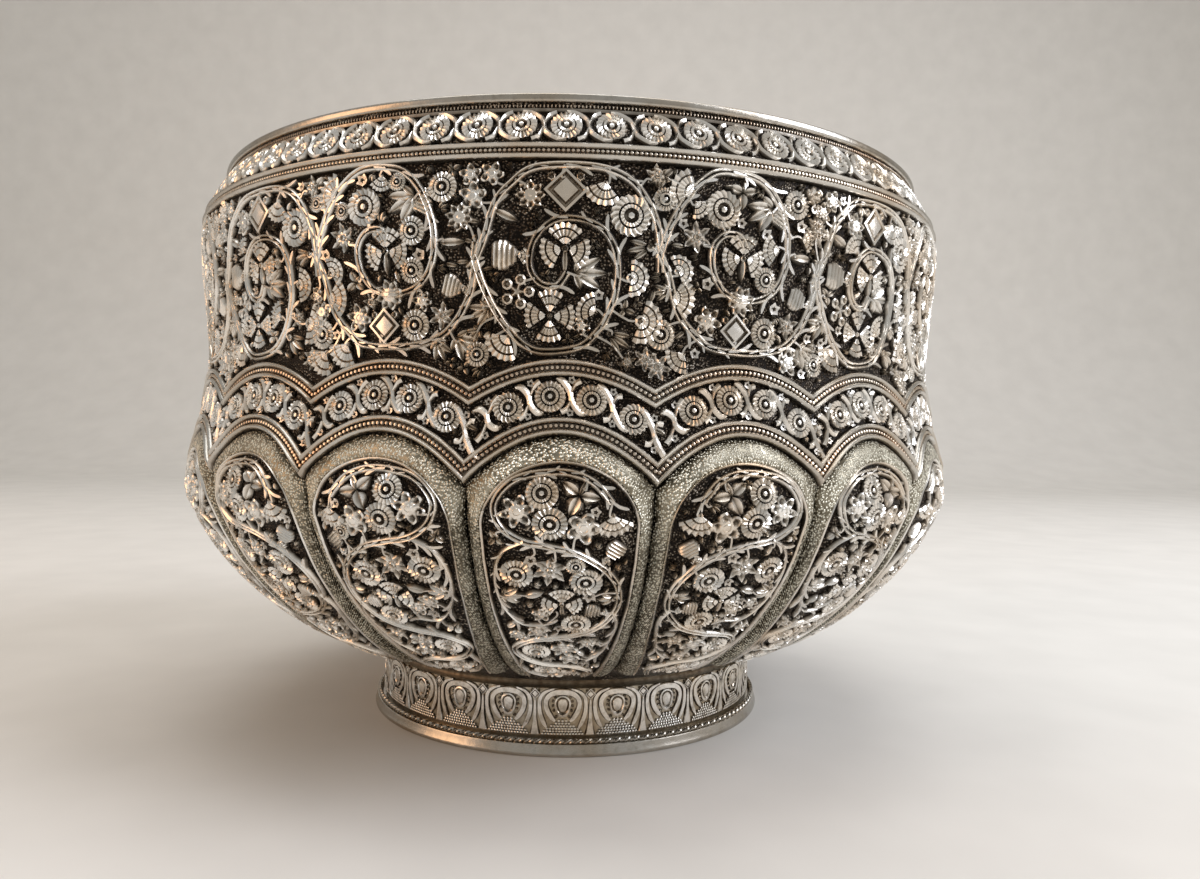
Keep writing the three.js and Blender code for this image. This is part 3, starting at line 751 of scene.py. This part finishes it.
def set_over(knots, centre, over):
    """A scroll's knots round its centre, turned upside down where the vine passes under."""
    return [(centre + u, z if over else 2 * FRIEZE_MIDDLE - z) for u, z in knots]


frieze_vines, frieze_leaves, frieze_flowers = frieze = [], [], []
for unit in range(LOBES):
    over = unit % 2 == 1
    centre = (unit - LOBES / 2) * SCROLL_PITCH
    bed = Garden(100 + unit, in_frieze, frieze)
    long_way = bed.vine(set_over(OVER, centre, over), (0.4, 0.42, 0.4), True)
    curled = bed.vine(set_over(CURL, centre, over), (0.44, 0.42, 0.4, 0.36, 0.42), True)
    for u, z, kind, size in OVER_FLOWERS if over else UNDER_FLOWERS:
        if in_frieze((centre + u, z - size / 2 - 0.1)):
            bed.flower((centre + u, z), kind, size * 1.2, 0.0 if kind in ("palmette", "kite") else None)
    bed.leafage(curled, 1.7, 3.2)
    bed.leafage(long_way, 1.7, 3.2)
    bed.fill((centre - SCROLL_PITCH / 2, 61), (centre + SCROLL_PITCH / 2, 92),
             (3.1, 2.5, 2.0, 1.6, 1.3, 1.0), 420)
raised_lines("frieze_vines", frieze_vines)
raised_lines("frieze_leaves", frieze_leaves, sides=6)
flowers("frieze_large_flowers", [s for s in frieze_flowers if s[3] > 3.2])
flowers("frieze_small_flowers", [s for s in frieze_flowers if s[3] <= 3.2])


# The band of arches: four rosettes to an arch, each in the bend of a stem as under the lip, and a
# floret in the fork of each stem. The leftover ground is filled with small leaves and flowers.
def in_arch_band(at):
    low, steep = arch_line(at[0] / BAND_RADIUS, *LOBE_ARCH)
    high, slope = arch_line(at[0] / BAND_RADIUS, *UPPER_ARCH)
    return low + 1.5 * steep < at[1] < high - 1.5 * slope


BAND_TOP, BAND_RISE, HALF_ARCH = 60.75, 5.1, 12.67


def band_middle(u):
    """The height of the middle of the band, at a way round from an arch's top."""
    return BAND_TOP - BAND_RISE * (abs(u) / HALF_ARCH) ** 2


BAND_CURLS = [([(-2.0, 2.25), (-1.15, 2.0), (-0.25, 0.85), (0.0, 0.0)], (0.34, 0.62, 0.6, 0.46)),
              ([(1.3, 2.2), (0.62, 1.75), (0.12, 0.6)], (0.56, 0.5, 0.26))]
band_stems, band_stalks, band_flowers = band = [], [], []
for unit in range(LOBES):
    bed = Garden(200 + unit, in_arch_band, band)
    centre = (unit - LOBES / 2) * SCROLL_PITCH
    for gap in (-10.0, -4.4, 1.2, 6.85, 12.4):
        tilt = np.clip(-2 * BAND_RISE * gap / HALF_ARCH**2, -0.7, 0.7)
        for side in (1, -1):
            for curl, widths in BAND_CURLS:
                bed.vine([(centre + gap + side * u, band_middle(gap) + side * (v + u * tilt))
                          for u, v in curl], widths)
            fork = (centre + gap + side * 0.1, band_middle(gap) + side * (2.2 + 0.1 * tilt))
            if in_arch_band(fork):
                bed.flower(fork, "floret", 1.15, stem=False)
    for u in (-7.2, -1.6, 4.0, 9.7):
        kind = "spiral" if bed.chance.random() < 0.5 else "rosette"
        bed.flower((centre + u, band_middle(u)), kind, 4.15, stem=False)
    bed.fill((centre - SCROLL_PITCH / 2, 50), (centre + SCROLL_PITCH / 2, 64),
             (2.0, 1.6, 1.3, 1.0, 0.8), 300)
raised_lines("arch_band_stems", band_stems + band_stalks)
flowers("arch_band_flowers", band_flowers)


# Each lobe holds a panel with a round arched top, in a plain raised border. Round it lies a matted
# frame, which was ruled with fine lines and sinks into the furrow between two lobes.
PANEL_TOP, PANEL_SPRING, PANEL_FOOT, PANEL_HALF = 57.5, 48.0, 9.9, 10.9


def panel_half(way):
    side = np.interp(way, [PANEL_FOOT, 18, 26, 34, 42, PANEL_SPRING], [5.3, 7.0, 8.6, 9.8, 10.6, PANEL_HALF])
    risen = np.clip((way - PANEL_SPRING) / (PANEL_TOP - PANEL_SPRING), 0, 1)
    return side * np.sqrt(1 - risen**2)


def round_the_lobes(x, y, proud):
    """Bends panels, which are drawn a hundred millimetres apart and measured up the sheet."""
    lobe = np.round(x / 100)
    return on_wall(lobe * LOBE_TURN + (x - 100 * lobe) / radius_at(y), y, proud)


def border_line(inset=0.0):
    """The panel's border from its foot, over the arch and down again."""
    rise = np.linspace(PANEL_FOOT, PANEL_SPRING, 40)[:-1]
    bend = np.linspace(math.pi, 0, 49)
    arch = np.column_stack([(PANEL_HALF - inset) * np.cos(bend),
                            PANEL_SPRING + (PANEL_TOP - inset - PANEL_SPRING) * np.sin(bend)])
    left = np.column_stack([inset - panel_half(rise), rise])
    return np.vstack([left, arch, left[::-1] * [-1, 1]])


inner = border_line(-0.1)
rise = np.linspace(PANEL_FOOT, float(along(48.6)), 40)[:-1]
bend = np.linspace(-1, 1, 49)
arch_foot, steep = arch_line(bend * LOBE_TURN / 2, *LOBE_ARCH)
arch_way = along(arch_foot - 1.28 * steep)
left = np.column_stack([-LOBE_TURN / 2 * radius_at(rise), rise])
arch = np.column_stack([bend * LOBE_TURN / 2 * radius_at(arch_way), arch_way])
outer = np.vstack([left, arch, left[::-1] * [-1, 1]])
FRAME = [(0.0, GROUND - 0.1), (0.0, -0.3), (0.08, -0.05), (0.3, 0.06), (0.55, -0.02), (0.78, -0.22),
         (0.93, -0.5), (1.0, -0.8), (1.0, GROUND - 0.1)]
along_frame = np.r_[0, np.cumsum(np.hypot(*np.diff(inner, axis=0).T))]
points, faces, crests, runs, tops = [], [], [], [], []
corners = np.arange(len(FRAME) * len(inner)).reshape(len(FRAME), -1)
one_frame = (grid_faces(len(FRAME) + 1, len(inner), False) % corners.size).tolist()
one_frame += [corners[:, 0].tolist(), corners[::-1, -1].tolist()]
for lobe in range(LOBES):
    faces += [[lobe * corners.size + corner for corner in face] for face in one_frame]
    for share, proud in FRAME:
        u, v = (inner + (outer - inner) * share).T
        points.append(round_the_lobes(100.0 * lobe + u, v, proud))
        crests.append(np.full(len(u), 1 - proud / GROUND))
        runs.append(along_frame)
        tops.append(np.clip((v - 44) / 8, 0, 1))


# The frame's silver is matted all over with the ring punch, and lower down its sides it is ruled
# across with fine lines. The black stays between the marks and in the furrow, under a greenish gold
# bloom. The dark in the furrow is partly painted shade, the bright marks are partly painted glints,
# and the frame is painted lighter towards its top, a painted highlight. Marks and lines are 0.25 mm
# apart, drawn 0.36 and 0.45 mm apart so that they show.
def matted_frame():
    material, tree, shader, place = shaded("matted_frame_silver")
    high, run, top = (add(tree, "ShaderNodeAttribute", attribute_name=label).outputs["Fac"]
                      for label in ("crest", "run", "top"))
    wave = add(tree, "ShaderNodeMath", {0: run, 1: math.tau / 0.45}, operation="MULTIPLY")
    ruled = add(tree, "ShaderNodeMath", {0: wave}, operation="SINE")
    ruling = add(tree, "ShaderNodeMapRange", {"Value": top, 1: 0.0, 2: 1.0, 3: 0.16, 4: 0.0})
    mats = add(tree, "ShaderNodeTexVoronoi", {"Vector": place, "Scale": 1 / 0.00036})
    patchy = add(tree, "ShaderNodeTexNoise", {"Vector": place, "Scale": 1 / 0.004, "Detail": 3.0})
    glint = add(tree, "ShaderNodeMapRange", {"Value": mats, 1: 0.12, 2: 0.6, 3: 0.42, 4: -0.2})
    worked_and_painted_light = glint
    # top paints the frame lighter upwards, a painted highlight; high darkens it into the furrow, partly
    # patina and partly painted shade.
    for pattern, share in ((ruled, ruling), (patchy, 0.5), (high, 0.38), (top, 0.12)):
        worked_and_painted_light = add(tree, "ShaderNodeMath", {0: pattern, 1: share, 2: worked_and_painted_light}, operation="MULTIPLY_ADD")
    colour = graded(tree, worked_and_painted_light, [(0.25, "19140e"), (0.45, "6c6555"), (0.68, "bab4a2"), (0.95, "f2eede")])
    bump = add(tree, "ShaderNodeBump", {"Height": worked_and_painted_light, "Strength": 0.9, "Distance": 0.0003})
    plug(tree, shader, {"Base Color": colour, "Metallic": 0.95, "Roughness": 0.36, "Normal": bump})
    return material


frame_piece = made("lobe_frames", np.concatenate(points), faces, [matted_frame()], np.concatenate(crests))
mark(frame_piece.data, "run", np.concatenate(runs))
mark(frame_piece.data, "top", np.concatenate(tops))
fitted(frame_piece)
border = border_line()
border_widths = np.full(len(border), 0.34)
raised_lines("panel_borders", [(border + [100.0 * lobe, 0], border_widths, 1.0) for lobe in range(LOBES)],
             round_the_lobes)


# In each panel the vine winds up from the foot and makes four rounds, each filled with flowers.
# Every second panel is cut to the other hand, and no two have the same small leaves.
WINDING = [
    (3.4, 10.6), (4.4, 14.2), (1.4, 17.0), (-2.6, 17.8), (-5.6, 19.8), (-6.9, 22.8), (-4.4, 25.9),
    (0.4, 27.2), (5.0, 29.3), (8.0, 33.4), (8.2, 37.7), (6.3, 41.4), (2.6, 44.2), (-1.5, 45.4),
    (-5.0, 46.1), (-7.9, 48.0), (-9.0, 51.0), (-7.8, 53.6), (-4.9, 55.5), (0.4, 56.15), (4.3, 54.9),
    (7.0, 52.0)]
SIDES = [[(-4.8, 46.0), (-7.7, 44.2), (-9.0, 41.0), (-8.9, 37.0), (-7.6, 33.0), (-5.2, 30.3), (-2.0, 30.4)],
         [(7.4, 33.0), (8.2, 30.0), (7.4, 26.0), (6.0, 21.9), (3.8, 19.4)],
         [(-5.8, 19.6), (-6.2, 16.0), (-4.7, 12.6), (-2.3, 11.0)]]
PANEL_FLOWERS = [
    (-2.4, 53.2, "rosette", 4.0), (2.4, 52.6, "trefoil", 4.6), (-5.7, 50.6, "cups", 4.4),
    (-1.3, 48.9, "rosette", 4.3), (3.2, 48.3, "primrose", 4.4), (7.3, 48.6, "shell", 3.4),
    (7.5, 44.4, "barrel", 3.4), (-8.9, 46.0, "trefoil", 2.2), (-5.9, 40.6, "rosette", 4.2),
    (-1.3, 41.4, "lily", 4.4), (3.6, 39.4, "spiral", 4.2), (6.6, 36.0, "bud", 2.6),
    (-3.6, 36.9, "leaf", 2.8), (0.3, 35.2, "palmette", 5.4), (-6.4, 36.4, "split", 3.0),
    (4.8, 33.4, "barrel", 3.0), (2.3, 30.6, "rosette", 3.8), (-2.6, 32.8, "primrose", 2.6),
    (-3.6, 22.6, "rosette", 3.8), (0.6, 23.4, "cups", 3.8), (4.2, 25.2, "lily", 3.4),
    (1.4, 19.9, "primrose", 3.0), (-2.4, 14.8, "rosette", 3.2), (1.2, 13.6, "shell", 3.0),
    (-0.6, 11.7, "bud", 2.2)]


def in_panel(at):
    lobe = round(at[0] / 100)
    return PANEL_FOOT + 0.5 < at[1] < PANEL_TOP and abs(at[0] - 100 * lobe) < panel_half(at[1]) - 0.7


panel_vines, panel_leaves, panel_flowers = panels = [], [], []
for lobe in range(LOBES):
    bed = Garden(300 + lobe, in_panel, panels)
    centre = 100.0 * lobe
    hand = 1 if lobe % 2 == 0 else -1
    bed.take(border + [centre, 0], 0.4)
    winding = bed.vine([(centre + hand * u, v) for u, v in WINDING], (0.32, 0.36, 0.4, 0.42), True)
    others = [bed.vine([(centre + hand * u, v) for u, v in knots], (0.42, 0.36, 0.3)) for knots in SIDES]
    for u, v, kind, size in PANEL_FLOWERS:
        bed.flower((centre + hand * u, v), kind, size * 1.1, 0.0 if kind == "palmette" else None)
    for path in (winding, *others):
        bed.leafage(path, 1.6, 2.8)
    bed.fill((centre - 10, 10), (centre + 10, 56.5), (2.6, 2.1, 1.7, 1.3, 1.0), 420)
raised_lines("panel_vines", panel_vines, round_the_lobes)
raised_lines("panel_leaves", panel_leaves, round_the_lobes, sides=6)
flowers("panel_large_flowers", [s for s in panel_flowers if s[3] > 3.0], round_the_lobes)
flowers("panel_small_flowers", [s for s in panel_flowers if s[3] <= 3.0], round_the_lobes)


# The lip wire and the base wire are drawn wires, hammered flat, soldered on and worn bright. They
# are plain, and the base wire flares a little towards the table.
ROUND_STEPS = 288


def turned(name, profile, silver, node, crests=None):
    """A closed profile of radius and height turned round the axis, bright unless crests make it darker, which
    in the foot's cove is painted shade.
    """
    angle = np.arange(ROUND_STEPS) / ROUND_STEPS * math.tau
    points = np.concatenate([round_the_axis(angle, r, np.full(ROUND_STEPS, z)) for r, z in profile])
    faces = grid_faces(len(profile) + 1, ROUND_STEPS, True) % len(points)
    lightness = np.repeat(crests or [1.0] * len(profile), ROUND_STEPS)
    fitted(made(name, points, faces, [silver], lightness), node)


LIP_LOW, LIP_HIGH, LIP_NEAR, LIP_FAR, LIP_CORNER = LIP_SEAT, 102.38, 66.75, 68.88, 0.42
worn_wire = chased_silver("wire_worn_bright", [
    (0.0, "261f19"), (0.5, "6e6961"), (0.8, "a09b92"), (1.0, "bcb8b0")], "d4bd9c")
section = []
for r, z, quarters in ((LIP_FAR - LIP_CORNER, LIP_LOW + LIP_CORNER, -1),
                       (LIP_FAR - LIP_CORNER, LIP_HIGH - LIP_CORNER, 0),
                       (LIP_NEAR + LIP_CORNER, LIP_HIGH - LIP_CORNER, 1),
                       (LIP_NEAR + LIP_CORNER, LIP_LOW + LIP_CORNER, 2)):
    section += [(r + LIP_CORNER * math.cos(bend), z + LIP_CORNER * math.sin(bend))
                for bend in math.pi / 2 * (quarters + np.linspace(0, 1, 4))]
turned("lip_wire_worn", section, worn_wire, "lip_wire")
turned("foot_base_wire_worn", [
    (36.4, 0.0), (39.8, 0.0), (40.02, 0.12), (40.08, 0.4), (39.98, 0.8), (39.72, 1.4), (39.68, 1.85),
    (39.6, 2.05), (39.5, 2.1), (36.4, 2.1)], worn_wire, "foot_base_wire")

# The foot is a strip of silver bent to a ring and soldered to the bowl. Nested arches, broad and flat,
# were chased in it round a pointed drop, with a matted mound under each, and its cove has toned golden.
# The cove is also painted darker towards its deepest line, as painted shade.
FOOT_ARCHES, FOOT_RADIUS, FOOT_GROUND, FOOT_RISE = 25, 38.4, -0.42, 0.4


def round_the_foot(x, y, proud):
    return round_the_axis(x / FOOT_RADIUS, FOOT_RADIUS - 0.02 + proud, y)


toned_silver = chased_silver("foot_silver_toned_golden", [
    (0.0, "1d1610"), (0.3, "5e5141"), (0.6, "998e7c"), (1.0, "e6dfce")], "dec298")
foot_relief = chased_silver("foot_arches_rubbed_silver", [
    (0.5, "1a1410"), (0.68, "5c5044"), (0.84, "b8b1a6"), (1.0, "f3f0ea")], "ecdabd")
cove = [math.sin(math.pi * step / 10) for step in range(11)]
profile = [(36.42, 2.1), (37.96, 2.1), (37.96, 11.3), (38.16, 11.45),
           *[(38.2 - 0.4 * deep, 11.5 + 0.17 * step) for step, deep in enumerate(cove)], (36.42, SEAT_HEIGHT)]
# Crest values fall with the cove's depth: painted shade in its hollow, over the golden toning.
turned("foot_strip", profile, toned_silver, "foot_wall",
       [0.9, 0.72, 0.72, 0.9, *[0.7 - 0.36 * deep for deep in cove], 0.9])
FOOT_STROKES = [([(0.0, 10.75), (1.6, 10.55), (2.65, 9.8), (2.95, 8.7), (2.6, 7.4), (1.9, 6.3), (1.3, 5.7)],
                 (0.6, 0.6, 0.52, 0.5, 0.54, 0.5, 0.25)),
                ([(1.5, 11.3), (3.0, 10.75), (3.85, 9.8), (4.05, 8.4), (3.85, 6.8), (3.3, 5.4), (2.8, 4.6)],
                 (0.16, 0.32, 0.4, 0.42, 0.46, 0.46, 0.22))]
foot_lines, foot_stamps = [], []
foot_pitch = math.tau * FOOT_RADIUS / FOOT_ARCHES
for arch in range(FOOT_ARCHES):
    centre = (arch - FOOT_ARCHES // 2) * foot_pitch
    gap = centre + foot_pitch / 2
    for knots, widths in FOOT_STROKES:
        for side in (1, -1):
            stroke(foot_lines, [(centre + side * u, z) for u, z in knots], widths, FOOT_RISE)
    trunk = [(gap, z) for z in (9.4, 8.0, 6.2, 4.6, 3.4)]
    stroke(foot_lines, trunk, (0.14, 0.3, 0.36, 0.66, 1.0), FOOT_RISE)
    for z in np.arange(3.45, 6.2, 0.46):
        span = np.interp(z, [3.4, 4.2, 4.9, 5.2, 6.3], [3.5, 3.0, 1.8, 1.2, 0.1])
        foot_stamps += [(centre + u, z, "grain", 0.52, 0.0)
                        for u in np.linspace(-span, span, int(span / 0.25) + 1)]
    foot_stamps += [(centre, 8.75, "drop", 5.4, math.pi), (gap, 10.4, "kite", 1.9, 0.0)]
on_foot = {"place": round_the_foot, "ground": FOOT_GROUND, "silver": foot_relief,
           "slot": "toned_silver", "node": "foot_wall"}
raised_lines("foot_arches", foot_lines, steep=2.2, **on_foot)
flowers("foot_buds", foot_stamps, tall=-FOOT_GROUND, **on_foot)

# Two thin wires twisted together lie in the corner between the strip and the base wire. They are
# soldered there, and their crests are worn as bright as the plain wires.
twisting, given = new_tree("twisted_strands", Strand="Float")
line = add(twisting, "GeometryNodeMeshToCurve", {"Mesh": given["Geometry"]})
section = add(twisting, "GeometryNodeCurvePrimitiveCircle", {"Resolution": 6, "Radius": given["Strand"]})
swept = add(twisting, "GeometryNodeCurveToMesh", {"Curve": line, "Profile Curve": section})
finish_tree(twisting, given, swept)
TWISTS, STEPS_PER_TWIST = 140, 10
TWIST_RADIUS, TWIST_HEIGHT, WOUND = 39.15, 2.55, 0.21
count = TWISTS * STEPS_PER_TWIST
angle = np.arange(count) / count * math.tau
strands = []
for start in (0, math.pi):
    out = TWIST_RADIUS + WOUND * np.cos(TWISTS * angle + start)
    up = TWIST_HEIGHT + WOUND * np.sin(TWISTS * angle + start)
    strands.append(round_the_axis(angle, out, up))
edges = [(base + i, base + (i + 1) % count) for base in (0, count) for i in range(count)]
source = into_scene("strands", new_mesh("strands", np.concatenate(strands), edges))
grown("foot_twisted_strands", source, twisting, lambda *place: np.column_stack(place),
      {"Strand": 0.235, "Silver": worn_wire}, "plain_silver", "foot_twisted_wire")

# The camera is close, at the height of the arches, as a phone was held, and rolled a little.
EYE = (0, -0.19, 0.0563)
camera = into_scene("camera", bpy.data.cameras.new("camera"))
bpy.context.scene.camera = camera
camera.data.lens = 26.4
camera.data.clip_start = 0.01
around, pan, tilt, roll = (math.radians(angle) for angle in (1.0, -1.9, 90 - 0.66, 0.93))
camera.matrix_world = (
    Matrix.Rotation(around, 4, "Z") @ Matrix.Translation(EYE)
    @ Matrix.Rotation(pan, 4, "Z") @ Matrix.Rotation(tilt, 4, "X") @ Matrix.Rotation(roll, 4, "Z"))


# A pale sweep of paper lies under the bowl and stands up behind it. Soft boxes light it from the
# right, the left and above.
def sweep_paper():
    material, tree, shader, place = shaded("pale_paper")
    grain = add(tree, "ShaderNodeTexNoise", {"Vector": place, "Scale": 40.0})
    colour = graded(tree, grain, [(0.3, "dedbd5"), (0.7, "e4e1db")])
    plug(tree, shader, {"Base Color": colour, "Roughness": 0.9})
    return material


bend = np.linspace(0, math.pi / 2, 13)
profile = [(-3.0, 0)] + [(0.7 + 0.3 * math.sin(b), 0.3 - 0.3 * math.cos(b)) for b in bend] + [(1.0, 1.6)]
points = [(side * 3000, y * 1000, z * 1000) for side in (-1, 1) for y, z in profile]
made("paper_sweep", points, grid_faces(2, len(profile), False)[:, ::-1], [sweep_paper()])


MIDDLE_OF_BOWL = Vector((0, 0, 0.05))


def soft_box(name, place, size, power, colour):
    """A lamp that points at the middle of the bowl."""
    lamp = bpy.data.lights.new(name, "AREA")
    lamp.shape = "RECTANGLE"
    lamp.size, lamp.size_y = size
    lamp.energy = power
    lamp.color = linear(colour)[:3]
    back = (Vector(place) - MIDDLE_OF_BOWL).to_track_quat("Z", "Y")
    into_scene(name, lamp).matrix_world = Matrix.Translation(place) @ back.to_matrix().to_4x4()


soft_box("window_right", (0.75, -0.25, 0.55), (0.5, 0.7), 6.6, "f2f5ff")
soft_box("reflector_left", (-0.7, -0.3, 0.25), (0.4, 0.5), 1.5, "ffc896")
soft_box("overhead", (0, 0.1, 0.9), (0.8, 0.6), 3.2, "ffffff")
world = bpy.data.worlds.new("room")
bpy.context.scene.world = world
world.use_nodes = True
plug(world.node_tree, world.node_tree.nodes["Background"], {"Color": linear("cfcdc9"), "Strength": 0.7})
bpy.context.scene.view_settings.view_transform = "Standard"
